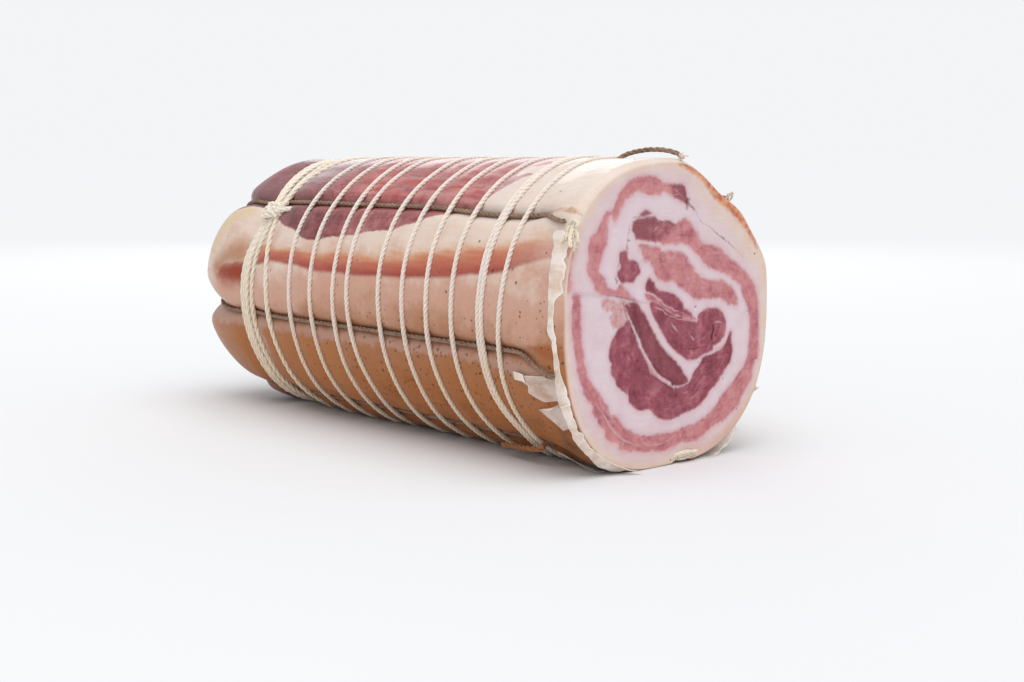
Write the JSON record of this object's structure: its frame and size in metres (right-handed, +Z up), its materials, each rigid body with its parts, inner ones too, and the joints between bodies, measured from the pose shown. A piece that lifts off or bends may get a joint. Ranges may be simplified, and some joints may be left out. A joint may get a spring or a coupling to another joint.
{
  "type": "rolled pancetta",
  "caption": "Rolled, cured pork belly tied with string along and around it, with one end cut off to show the spiral of fat and lean.",
  "frame": {"origin": "middle of the base of the overall bounding box", "axes": "+X along the roll towards its cut face, +Y to the right of someone facing the cut face, +Z up"},
  "size_m": [0.3228, 0.1436, 0.1446],
  "materials": {
    "cured_fat": "pale cured pork fat with a moist, slightly glossy skin",
    "cured_lean": "dark red cured lean meat, moist where it is cut",
    "cotton_string": "cream twisted cotton butcher's string",
    "brown_twine": "brown twisted twine, darkened by the cure",
    "dry_casing": "thin dried casing, yellowish and see-through"
  },
  "bodies": {
    "root": {"belly_roll": "cured_fat", "casing_flap_lower": "dry_casing", "casing_flap_under": "dry_casing", "casing_flap_upper": "dry_casing", "casing_right": "dry_casing", "casing_rim": "dry_casing", "casing_tail": "dry_casing", "lean_core": "cured_lean", "lean_heart": "cured_lean", "lean_middle_slab": "cured_lean", "lean_outer_streak": "cured_lean", "lean_side_strip": "cured_lean", "lean_slanted_wedge": "cured_lean", "lean_small_lump": "cured_lean", "lean_thin_wedge": "cured_lean", "lean_top_band": "cured_lean", "string_01": "cotton_string", "string_02_back": "cotton_string", "string_02_front": "cotton_string", "string_03": "cotton_string", "string_04": "cotton_string", "string_05": "cotton_string", "string_06": "cotton_string", "string_07": "cotton_string", "string_08": "cotton_string", "string_09": "cotton_string", "string_10": "cotton_string", "string_binding": "cotton_string", "twine_loop_1": "brown_twine", "twine_loop_2": "brown_twine", "twine_loop_3": "brown_twine", "twine_loop_4": "brown_twine", "twine_tie": "brown_twine"}
  },
  "joints": []
}
